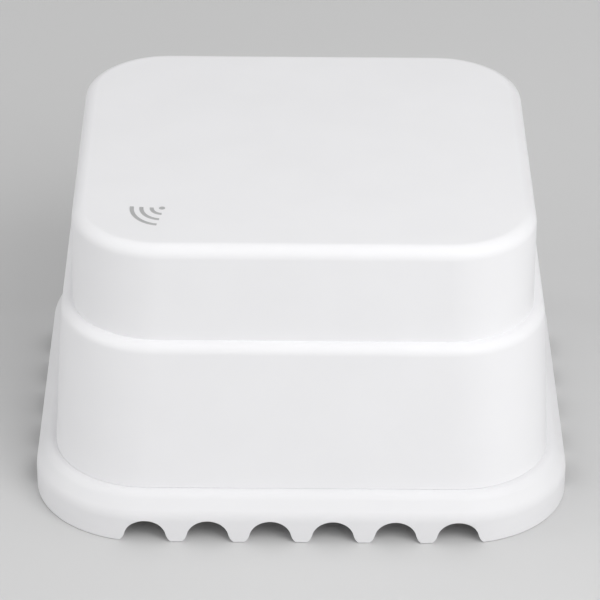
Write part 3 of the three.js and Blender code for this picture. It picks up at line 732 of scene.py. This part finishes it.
def cross_recess(x, y, seat, size, up):
    """Two tapering bars that sink into the face of a screw's head."""
    arm = size[0] * 0.56
    face = seat - up * size[1]
    deep = seat - up * size[1] * 0.35
    bars = []
    for crosswise in (False, True):
        rings = []
        for share, z in ((1.12, face - up * 0.5), (1.0, face), (0.55, deep)):
            a, b = arm * share, RECESS_HALF * (0.6 + 0.4 * share)
            if crosswise:
                a, b = b, a
            rings.append([(x - a, y - b, z), (x + a, y - b, z), (x + a, y + b, z), (x - a, y + b, z)])
        bars.append(stack(rings))
    return bars


def screw_piece(name, x, y, seat, size, body="sensor", up=1):
    piece(name, [screw_shape(x, y, seat, size, up)], STEEL, body, smooth=30,
          cuts=[cross_recess(x, y, seat, size, up)])


def make_case_screws():
    for i, (x, y) in enumerate(four(*CASE_SCREW)):
        screw_piece(f"case_screw_{i + 1}", x, y, CASE_HEAD_Z - GAP, CASE_SCREW_SIZE)


def door_lip():
    """The raised rim that keys the door into the battery well."""
    path = (
        (0, DOOR_HIGH - 0.5), (0, LIP_Z - 0.15), (0.15, LIP_Z), (LIP_BAND, LIP_Z),
        (LIP_BAND, DOOR_HIGH - 0.5))
    return stack([
        ring(LIP_W - 2 * inset, LIP_D - 2 * inset, 1.2 - inset * 0.4, z, 0, WELL_Y, 6) for inset, z in path
    ], loop=True)


def make_door():
    """The door with its lip, its two countersunk screw holes and the grip grooves beside them."""
    plate = slab(DOOR_W, DOOR_D, DOOR_R, DOOR_LOW, DOOR_HIGH, 0, WELL_Y, edge=0.4, steps=12)
    cuts = []
    for side in (-1, 1):
        screw_x = side * DOOR_SCREW_X
        cuts.append(rod(DOOR_HOLE_R, 2, 7, screw_x, WELL_Y, 28))
        cuts.append(turned([
            (DOOR_SINK_R + 0.4, DOOR_LOW - 0.3), (DOOR_SINK_R + 0.05, DOOR_LOW + 0.12),
            (DOOR_SINK_R, DOOR_LOW + 0.25)], screw_x, WELL_Y, 36))
        for k in range(GRIP_LINES):
            x = side * (GRIP_START + GRIP_PITCH * k)
            cuts.append(slab(GRIP_W, GRIP_D, 0.34, DOOR_LOW - 0.5, DOOR_LOW + 0.3, x, WELL_Y, steps=5))
    piece("battery_door", [plate], TRAY_WHITE_PAINTED_SHADE, "battery_door", smooth=40, joined=[door_lip()],
          cuts=[cuts], soft=0.08)
    gasket = frame_loop(*GASKET, DOOR_HIGH + 0.05, PLATE_Z - 0.05, 0, WELL_Y)
    piece("door_gasket", [gasket], RUBBER, "battery_door")
    for name, side in (("left", -1), ("right", 1)):
        screw_piece("door_screw_" + name, side * DOOR_SCREW_X, WELL_Y, DOOR_LOW - 0.05, DOOR_SCREW_SIZE,
                    "battery_door")


def make_standoff(number, x, y):
    """A six-sided brass post, bored for the probe below and threaded for the board screw above."""
    low, high = FLANGE_Z + 0.05, BOARD_Z - 0.05
    post = turned([
        (STANDOFF_R - 0.25, low), (STANDOFF_R, low + 0.25), (STANDOFF_R, high - 0.25),
        (STANDOFF_R - 0.25, high)], x, y, 6)
    bores = [rod(STANDOFF_BORE, low - 1, 13, x, y, 32), rod(STANDOFF_THREAD, 15.5, high + 1, x, y, 32)]
    piece(f"standoff_{number}", [post], BRASS, smooth=30, cuts=[bores], soft=0.08, sharp=25)


def make_posts():
    """At each post: the probe, its seal, the standoff and the board's screw."""
    for i, (x, y) in enumerate(four(*POST)):
        number = i + 1
        piece(f"probe_{number}", [soft_turned(PROBE_PROFILE, x, y, 0.3)], GOLD)
        seal = torus(PROBE_SEAL_R, PROBE_SEAL_WIRE, x, y, PROBE_SEAL_Z)
        piece(f"probe_seal_{number}", [seal], RUBBER, smooth=60)
        make_standoff(number, x, y)
        screw_piece(f"board_screw_{number}", x, y, BOARD_TOP + 0.05, BOARD_SCREW_SIZE, up=-1)


def make_case_seal():
    """The ring in the locating rim's groove, swollen outwards to the cover's wall."""
    swell = RIM_INSET - 0.35
    inner = RIM_INSET + SEAL_DEPTH - GAP
    half = SEAL_H / 2
    seal = stack([
        case_ring(swell + 0.25, RIM_R + 0.05, SEAL_Z - half),
        case_ring(swell, RIM_R + 0.3, SEAL_Z - half * 0.4),
        case_ring(swell, RIM_R + 0.3, SEAL_Z + half * 0.4),
        case_ring(swell + 0.25, RIM_R + 0.05, SEAL_Z + half),
        case_ring(inner, RIM_R - 0.6, SEAL_Z + half),
        case_ring(inner, RIM_R - 0.6, SEAL_Z - half),
    ], loop=True)
    piece("case_seal", [seal], RUBBER)


# ---------- cells and contacts ----------
CONTACT_X = WELL_W / 2 - GAP - CONTACT_T
CELL_END = CONTACT_X - GAP
PLATE_LOW, PLATE_HIGH = CELL_Z - 4.2, CELL_Z + 4.6   # heights of the contact plates
PLATE_HALF = 4.4
TAB_HALF = 1.3
CONTACT_HOLE_R, CONTACT_HOLE_DROP = 0.7, 3.4
SPRING_RADII, SPRING_TURNS, SPRING_WIRE = (3.6, 2.2), 3.5, 0.3


def make_cell(name, y, way):
    """An AAA cell lying along X, its positive nub to the right (1) or to the left (-1)."""
    shoulder = CELL_END - CELL_NUB
    tail = CELL_END - CELL_LENGTH
    shape = soft_turned([
        (0.4, tail + 0.08), (CELL_R - 1.1, tail), (CELL_R - 0.9, tail + 0.2), (CELL_R - 0.3, tail + 0.2),
        (CELL_R, tail + 0.55), (CELL_R, shoulder - 0.45), (CELL_R - 0.35, shoulder),
        (CELL_R - 0.9, shoulder - 0.1), (1.95, shoulder - 0.05), (1.9, CELL_END - 0.15), (1.6, CELL_END)],
        radius=0.25)
    lying = moved(shape, lambda a, b, c: (way * c, y + b, CELL_Z - way * a))
    piece(name, [lying], CELL, smooth=40)


def end_plate(name, side, y0, y1, centres, tab=()):
    """A flat contact plate, holed below each cell's middle, perhaps with a tab up to the board."""
    near, far = sorted((side * CONTACT_X, side * (CONTACT_X + CONTACT_T)))
    plate = slab(y1 - y0, PLATE_HIGH - PLATE_LOW, 0.8, near, far, 0, 0, steps=5)
    middle_y, middle_z = (y0 + y1) / 2, (PLATE_LOW + PLATE_HIGH) / 2
    upright = moved(plate, lambda a, b, c: (c, a + middle_y, b + middle_z))
    tabs = [box(near, far, y - TAB_HALF, y + TAB_HALF, CELL_Z + 4, BOARD_Z - GAP) for y in tab]
    hole = rod(CONTACT_HOLE_R, near - 1, far + 1, steps=24)
    holes = [moved(hole, lambda a, b, c, m=m: (c, a + m, b + CELL_Z - CONTACT_HOLE_DROP)) for m in centres]
    piece(name, [upright], STEEL, joined=tabs, cuts=[holes], soft=0.06)


def make_power():
    """Two cells head to tail, the link between them, the two end contacts and the springs."""
    front, rear = WELL_Y - CELL_SPACING / 2, WELL_Y + CELL_SPACING / 2
    make_cell("battery_front", front, 1)
    make_cell("battery_rear", rear, -1)
    end_plate("contact_link", 1, front - PLATE_HALF, rear + PLATE_HALF, (front, rear))
    end_plate("contact_negative", -1, front - PLATE_HALF, front + PLATE_HALF, (front,), (front,))
    end_plate("contact_positive", -1, rear - PLATE_HALF, rear + PLATE_HALF, (rear,), (rear,))
    start = CONTACT_X - SPRING_WIRE - GAP
    end = CELL_LENGTH - CELL_END + SPRING_WIRE + GAP
    for name, side, y in (("front", -1, front), ("rear", 1, rear)):
        spring = coil(side * start, side * end, y, CELL_Z, SPRING_RADII, SPRING_TURNS, SPRING_WIRE)
        piece("battery_spring_" + name, [spring], STEEL, smooth=60)


# ---------- board and what it carries ----------
PART_Z = BOARD_TOP + 0.05     # the parts' undersides, just clear of the board
RADIO = (13, 12)
RADIO_W, RADIO_D, RADIO_PADS, RADIO_PAD_PITCH = 19, 14, 9, 1.27
CAN_X, CAN_W, CAN_D, CAN_SLOTS, CAN_SLOT_PITCH = 11.2, 14.5, 11.5, 5, 2.4
CHIP = (-8, 8)
CHIP_SIDE, CHIP_PINS, CHIP_PITCH, PIN_HALF, PIN_START, PIN_END = 7.6, 8, 0.8, 0.18, 3.6, 4.5
CRYSTAL = (-8, -2)
ANTENNA_HALF, ANTENNA_Y, ANTENNA_R, ANTENNA_TURNS, ANTENNA_WIRE = 12.5, 24, 2.5, 9, 0.35
LED_DOME = 1.5
GUIDE_LOW, GUIDE_NECK, GUIDE_TOP_R = 28.3, 37, 5
CAPACITOR = (7, -12)
CAPACITOR_R, CAPACITOR_H, VENT_ARM, VENT_LINE = 4, 12, 2.6, 0.12
BOOST = (21, -13)
BOOST_R, BOOST_H, WINDINGS, WINDING_PITCH = 4.2, 5.6, 11, 0.31


def make_board():
    cuts = [rod(1.25, BOARD_Z - 1, BOARD_TOP + 1, x, y, 32) for x, y in four(*POST)]
    for sx, sy in four(1, 1):
        x0, x1 = sorted((sx * BOARD_NOTCH[0], sx * BOARD_W))
        y0, y1 = sorted((sy * BOARD_NOTCH[1], sy * BOARD_D))
        cuts.append(box(x0, x1, y0, y1, BOARD_Z - 1, BOARD_TOP + 1))
    plate = slab(BOARD_W, BOARD_D, 1, BOARD_Z, BOARD_TOP, steps=8)
    piece("circuit_board", [plate], BOARD, cuts=[cuts], soft=0.1)


def make_radio_module():
    """A small carrier with soldered edge pads and a shielding can with vent slots."""
    x, y = RADIO
    carrier = slab(RADIO_W, RADIO_D, 0.5, PART_Z, PART_Z + 1, x, y, edge=0.1)
    can = slab(CAN_W, CAN_D, 0.8, PART_Z + 0.9, PART_Z + 3, CAN_X, y, edge=0.3)
    cuts = [rod(0.45, PART_Z - 0.1, PART_Z + 1.2, x - RADIO_W / 2, y + RADIO_PAD_PITCH * (k - 4), 16)
            for k in range(RADIO_PADS)]
    cuts += [slab(0.5, 3, 0.2, PART_Z + 2.7, PART_Z + 4, CAN_X + CAN_SLOT_PITCH * (k - 2), y, steps=4)
             for k in range(CAN_SLOTS)]
    piece("radio_module", [carrier], STEEL, joined=[can], cuts=[cuts])


def make_chip():
    """A square chip with pins on all four sides and a dimple at its first pin."""
    x, y = CHIP
    body = slab(CHIP_SIDE, CHIP_SIDE, 0.3, PART_Z + 0.15, PART_Z + 1.2, x, y, edge=0.12)
    pins = []
    for k in range(CHIP_PINS):
        slide = (k - (CHIP_PINS - 1) / 2) * CHIP_PITCH
        for side in (-1, 1):
            x0, x1 = sorted((x + side * PIN_START, x + side * PIN_END))
            pins.append(box(x0, x1, y + slide - PIN_HALF, y + slide + PIN_HALF, PART_Z, PART_Z + 0.5))
            y0, y1 = sorted((y + side * PIN_START, y + side * PIN_END))
            pins.append(box(x + slide - PIN_HALF, x + slide + PIN_HALF, y0, y1, PART_Z, PART_Z + 0.5))
    dimple = rod(0.4, PART_Z + 1.08, PART_Z + 2, x - 2.8, y + 2.8, 24)
    piece("controller_chip", [body], BLACK, joined=pins, cuts=[[dimple]])


def make_crystal_and_antenna():
    foot = slab(10.6, 4.4, 2.19, PART_Z, PART_Z + 0.5, *CRYSTAL, edge=0.15, steps=12)
    can = slab(9.8, 3.7, 1.84, PART_Z + 0.45, PART_Z + 3.2, *CRYSTAL, edge=0.5, steps=12)
    piece("crystal_can", [foot, can], STEEL)
    radii = (ANTENNA_R, ANTENNA_R)
    helix = coil(-ANTENNA_HALF, ANTENNA_HALF, ANTENNA_Y, PART_Z + ANTENNA_R + 0.4, radii,
                 ANTENNA_TURNS, ANTENNA_WIRE)
    piece("antenna_coil", [helix], COPPER, smooth=60)


def make_signal_light():
    """The light under the symbol, and the clear trumpet that spreads it over the window."""
    foot = PART_Z + 1
    dome = [(LED_DOME * math.cos(a), PART_Z + 3.6 + LED_DOME * math.sin(a))
            for a in [math.pi / 2 * k / 8 for k in range(8)]]
    lamp = turned([(1.9, PART_Z), (1.9, foot - 0.1), (1.8, foot), (1.5, foot + 0.02), *dome], *SYMBOL)
    piece("status_led", [lamp], CLEAR)
    rim = HEIGHT - WALL - 2.1
    neck = [(3.6 - 1.4 * math.cos(math.pi * k / 12), GUIDE_NECK + k / 12 * (rim - 0.1 - GUIDE_NECK))
            for k in range(13)]
    guide = turned([(2.0, GUIDE_LOW), (2.2, GUIDE_LOW + 0.2), *neck, (GUIDE_TOP_R, rim),
                    (GUIDE_TOP_R, rim + 0.9)], *SYMBOL)
    piece("light_guide", [guide], CLEAR)


def make_capacitor():
    """A can with a rolled groove near its foot and a cross scored in its top."""
    x, y = CAPACITOR
    top = PART_Z + CAPACITOR_H
    wide = CAPACITOR_R
    can = soft_turned([
        (wide - 0.4, PART_Z), (wide, PART_Z + 0.4), (wide, PART_Z + 1.1), (wide - 0.35, PART_Z + 1.5),
        (wide, PART_Z + 1.9), (wide, top - 0.5), (wide - 0.3, top), (3.2, top), (3.1, top - 0.2),
        (0.5, top - 0.2)], x, y, 0.25)
    scores = [block(x, y, across, deep, top - 0.35, top + 1)
              for across, deep in ((VENT_ARM, VENT_LINE), (VENT_LINE, VENT_ARM))]
    piece("storage_capacitor", [can], BLACK, cuts=[scores])


def make_boost_coil():
    """A bobbin with two flanges and its winding between them."""
    low, high, wide = PART_Z, PART_Z + BOOST_H, BOOST_R
    winding = []
    for k in range(WINDINGS):
        z = low + 1.15 + k * WINDING_PITCH
        winding += [(3.45, z), (3.65, z + 0.15)]
    bobbin = turned([
        (wide - 0.1, low), (wide, low + 0.1), (wide, low + 0.9), (wide - 0.1, low + 1), *winding,
        (wide - 0.1, high - 0.98), (wide, high - 0.85), (wide, high - 0.1), (wide - 0.1, high)], *BOOST)
    piece("boost_coil", [bobbin], COPPER, smooth=50)


# ---------- switches under the board ----------
DIP_HALF, DIP_HALF_DEEP = 5.8, 3.1
SLOT_HALF, SLOT_HALF_DEEP, SLOT_DEPTH = 0.75, 1.3, 1.3
KNOB_HALF, KNOB_REACH, KNOB_DROP = 0.6, 1.2, 0.8
SCORE_R, SCORE_RISE, SCORE_PITCH = 0.18, 0.04, 0.3
RESET_HALF, RESET_BORE, RESET_DEPTH, RIVET_R, RIVET_PLACE = 3, 1.9, 1.75, 0.45, 2.3
BUTTON_R, BUTTON_DROP = 1.7, 1.1


def make_dip_switch():
    """Four slide switches in one body, each knob with three hairline scores across its face."""
    top = BOARD_Z - 0.05
    spots = [DIP_X + step * DIP_PITCH for step in (-1.5, -0.5, 0.5, 1.5)]
    body = block(DIP_X, WELL_Y, DIP_HALF, DIP_HALF_DEEP, DIP_BOTTOM, top)
    slots = [block(x, WELL_Y, SLOT_HALF, SLOT_HALF_DEEP, DIP_BOTTOM - 1, DIP_BOTTOM + SLOT_DEPTH)
             for x in spots]
    piece("dip_switch_body", [body], RED, cuts=[slots], soft=0.12)
    face = DIP_BOTTOM - KNOB_DROP
    for i, x in enumerate(spots):
        name = f"dip_slider_{i + 1}"
        knob = box(x - KNOB_HALF, x + KNOB_HALF, WELL_Y - KNOB_REACH, WELL_Y, face, DIP_BOTTOM + 1.2)
        rows = [WELL_Y - KNOB_REACH / 2 + step * SCORE_PITCH for step in (-1, 0, 1)]
        blade = rod(SCORE_R, x - 1, x + 1, steps=12)      # laid along X and pressed flat
        scores = [moved(blade, lambda a, b, c, y=y: (c, y, face - SCORE_RISE + b)) for y in rows]
        piece(name, [knob], SWITCH_WHITE, name, cuts=[scores], soft=0.06)


def make_reset_switch():
    """A square push switch with a rivet hole at each corner, and its round button."""
    top = BOARD_Z - 0.05
    housing = block(RESET_X, WELL_Y, RESET_HALF, RESET_HALF, RESET_BOTTOM, top)
    cuts = [rod(RESET_BORE, RESET_BOTTOM - 1, RESET_BOTTOM + RESET_DEPTH, RESET_X, WELL_Y, 40)]
    cuts += [rod(RIVET_R, RESET_BOTTOM - 1, RESET_BOTTOM + 0.2, RESET_X + x, WELL_Y + y, 20)
             for x, y in four(RIVET_PLACE, RIVET_PLACE)]
    piece("reset_switch_frame", [housing], BLACK, cuts=[cuts], soft=0.15)
    button = soft_turned([
        (0.3, RESET_BOTTOM - BUTTON_DROP), (BUTTON_R, RESET_BOTTOM - BUTTON_DROP),
        (BUTTON_R, RESET_BOTTOM + 1.35)], RESET_X, WELL_Y, 0.25)
    piece("reset_button", [button], BUTTON_GREY, "reset_button")


# ---------- siren ----------
SIREN_LOW = FLANGE_Z + 0.5
MEMBRANE_R = 9.4
SHELF_R, SHELF_Z, CAVITY_R, CAVITY_Z = 8, 12.5, 8.9, 14.8
DISC_R, CRYSTAL_R, DISC_LOW, DISC_HIGH = 8.7, 6, 11.9, 12.4
LEAD_R, LEAD_X, LEAD_SWING_X, LEAD_SWING_Y = 0.45, 2.5, 2, 3


def make_siren_case():
    """Vent membrane on the plate, housing over it and sounding disc inside."""
    membrane = soft_turned([
        (MEMBRANE_R - 0.1, FLANGE_Z + 0.05), (MEMBRANE_R, FLANGE_Z + 0.15), (MEMBRANE_R, SIREN_LOW - 0.15),
        (MEMBRANE_R - 0.1, SIREN_LOW - 0.05)], *SIREN, 0.1)
    piece("siren_membrane", [membrane], MEMBRANE)
    housing = soft_turned([
        (SHELF_R, CAVITY_Z), (SHELF_R, SHELF_Z), (CAVITY_R, SHELF_Z), (CAVITY_R, SIREN_LOW),
        (SIREN_R, SIREN_LOW), (SIREN_R, SIREN_TOP - 0.3), (SIREN_R - 0.5, SIREN_TOP), (7.4, SIREN_TOP),
        (7.2, SIREN_TOP - 0.25), (0.6, SIREN_TOP - 0.25)], *SIREN, 0.2, 72)
    piece("siren_housing", [housing], BLACK)
    disc = soft_turned([
        (CRYSTAL_R - 0.1, DISC_LOW - 0.15), (CRYSTAL_R, DISC_LOW - 0.1), (CRYSTAL_R, DISC_LOW),
        (DISC_R - 0.1, DISC_LOW), (DISC_R, DISC_LOW + 0.1), (DISC_R, DISC_HIGH - 0.1),
        (DISC_R - 0.1, DISC_HIGH)], *SIREN, 0.05)
    piece("siren_disc", [disc], BRASS)


def make_siren_lead(name, side, finish):
    """A short insulated lead that bows out on its way up to the board."""
    start, end = SIREN_TOP + 0.15, BOARD_Z - 0.05
    path = []
    for i in range(33):
        part = i / 32
        swing = math.sin(math.pi * part) ** 2
        x = side * (LEAD_X + LEAD_SWING_X * swing)
        path.append((x, SIREN[1] - LEAD_SWING_Y * swing, start + (end - start) * part))
    piece("siren_lead_" + name, [bar(path, LEAD_R, 16)], finish, smooth=60)


# ---------- floor, lights and camera ----------
FLOOR_SIZE = 8                # metres
FLOOR_DROP = 0.02             # the floor lies this far below the feet
FLOOR_COLOUR = (0.64, 0.64, 0.64, 1)
CAMERA_DISTANCE = 503.85
CAMERA_ELEVATION = 30.25
CAMERA_TURN = -0.474
CAMERA_ROLL = 0.661
CAMERA_AIM = (-0.316, 0, 19.36)
CAMERA_LENS = 195.5
# name, place in mm, width and height in metres, power in watts
NEAR_LIGHT = ("near_right", (200, -280, 330), (0.28, 0.28), 0.9)
NEAR_LIGHT_AIM = (0, 0, 25)
# name, direction it comes from, spread in degrees, strength
FAR_LIGHTS = (
    ("right_front", (480, -430, 260), 90, 1.1),
    ("left_front", (-420, -370, 320), 45, 0.58),
    ("right_side", (600, 0, 250), 34, 0.16),
    ("left_side", (-600, 0, 250), 34, 0.78),
    ("overhead", (0, 200, 550), 60, 0.63),
)
SKY_STRENGTH = 0.16


def make_floor():
    bpy.ops.mesh.primitive_plane_add(size=FLOOR_SIZE)
    floor = bpy.context.object
    floor.name = "floor"
    floor.location.z = -FLOOR_DROP * MM
    material, _, _, shader = start_material("floor_finish")
    set_inputs(shader, Base_Color=FLOOR_COLOUR, Roughness=1, Specular_IOR_Level=0)
    floor.data.materials.append(material)


def add_light(name, kind, energy, direction):
    """A light of the kind, turned to shine from the direction."""
    light = bpy.data.lights.new(name, kind)
    light.energy = energy
    thing = link_object(name, light)
    thing.rotation_euler = Vector(direction).to_track_quat("Z", "Y").to_euler()
    return thing, light


def near_light(name, place, size, power):
    """A soft box close to the object."""
    thing, light = add_light(name, "AREA", power, Vector(place) - Vector(NEAR_LIGHT_AIM))
    light.shape = "RECTANGLE"
    light.size, light.size_y = size
    thing.location = Vector(place) * MM


def far_light(name, origin, spread, strength):
    """Wide soft light from far away, which leaves the floor evenly pale on every side."""
    _, light = add_light(name, "SUN", strength, origin)
    light.angle = math.radians(spread)


def make_camera():
    turn, rise, roll = (math.radians(a) for a in (CAMERA_TURN, CAMERA_ELEVATION, CAMERA_ROLL))
    back = Vector((math.sin(turn) * math.cos(rise), -math.cos(turn) * math.cos(rise), math.sin(rise)))
    camera = link_object("camera", bpy.data.cameras.new("camera"))
    camera.data.lens = CAMERA_LENS
    camera.data.sensor_width = 36
    camera.data.clip_start = 0.01
    camera.location = (Vector(CAMERA_AIM) + back * CAMERA_DISTANCE) * MM
    right = (-back).cross(Vector((0, 0, 1))).normalized()
    up = right.cross(-back)
    across = right * math.cos(roll) + up * math.sin(roll)
    upward = up * math.cos(roll) - right * math.sin(roll)
    camera.rotation_euler = Matrix((across, upward, back)).transposed().to_euler()
    bpy.context.scene.camera = camera


def make_world():
    world = bpy.data.worlds.new("studio")
    world.use_nodes = True
    sky = world.node_tree.nodes["Background"]
    set_inputs(sky, Color=(1, 1, 1, 1), Strength=SKY_STRENGTH)
    bpy.context.scene.world = world
    bpy.context.scene.view_settings.view_transform = "Standard"


# ---------- the whole scene ----------
make_cover()
make_window()
make_tray()
make_case_screws()
make_door()
make_posts()
make_case_seal()
make_power()
make_board()
make_radio_module()
make_chip()
make_crystal_and_antenna()
make_signal_light()
make_capacitor()
make_boost_coil()
make_dip_switch()
make_reset_switch()
make_siren_case()
make_siren_lead("red", 1, RED)
make_siren_lead("black", -1, BLACK)
make_floor()
make_world()
make_camera()
near_light(*NEAR_LIGHT)
for light in FAR_LIGHTS:
    far_light(*light)
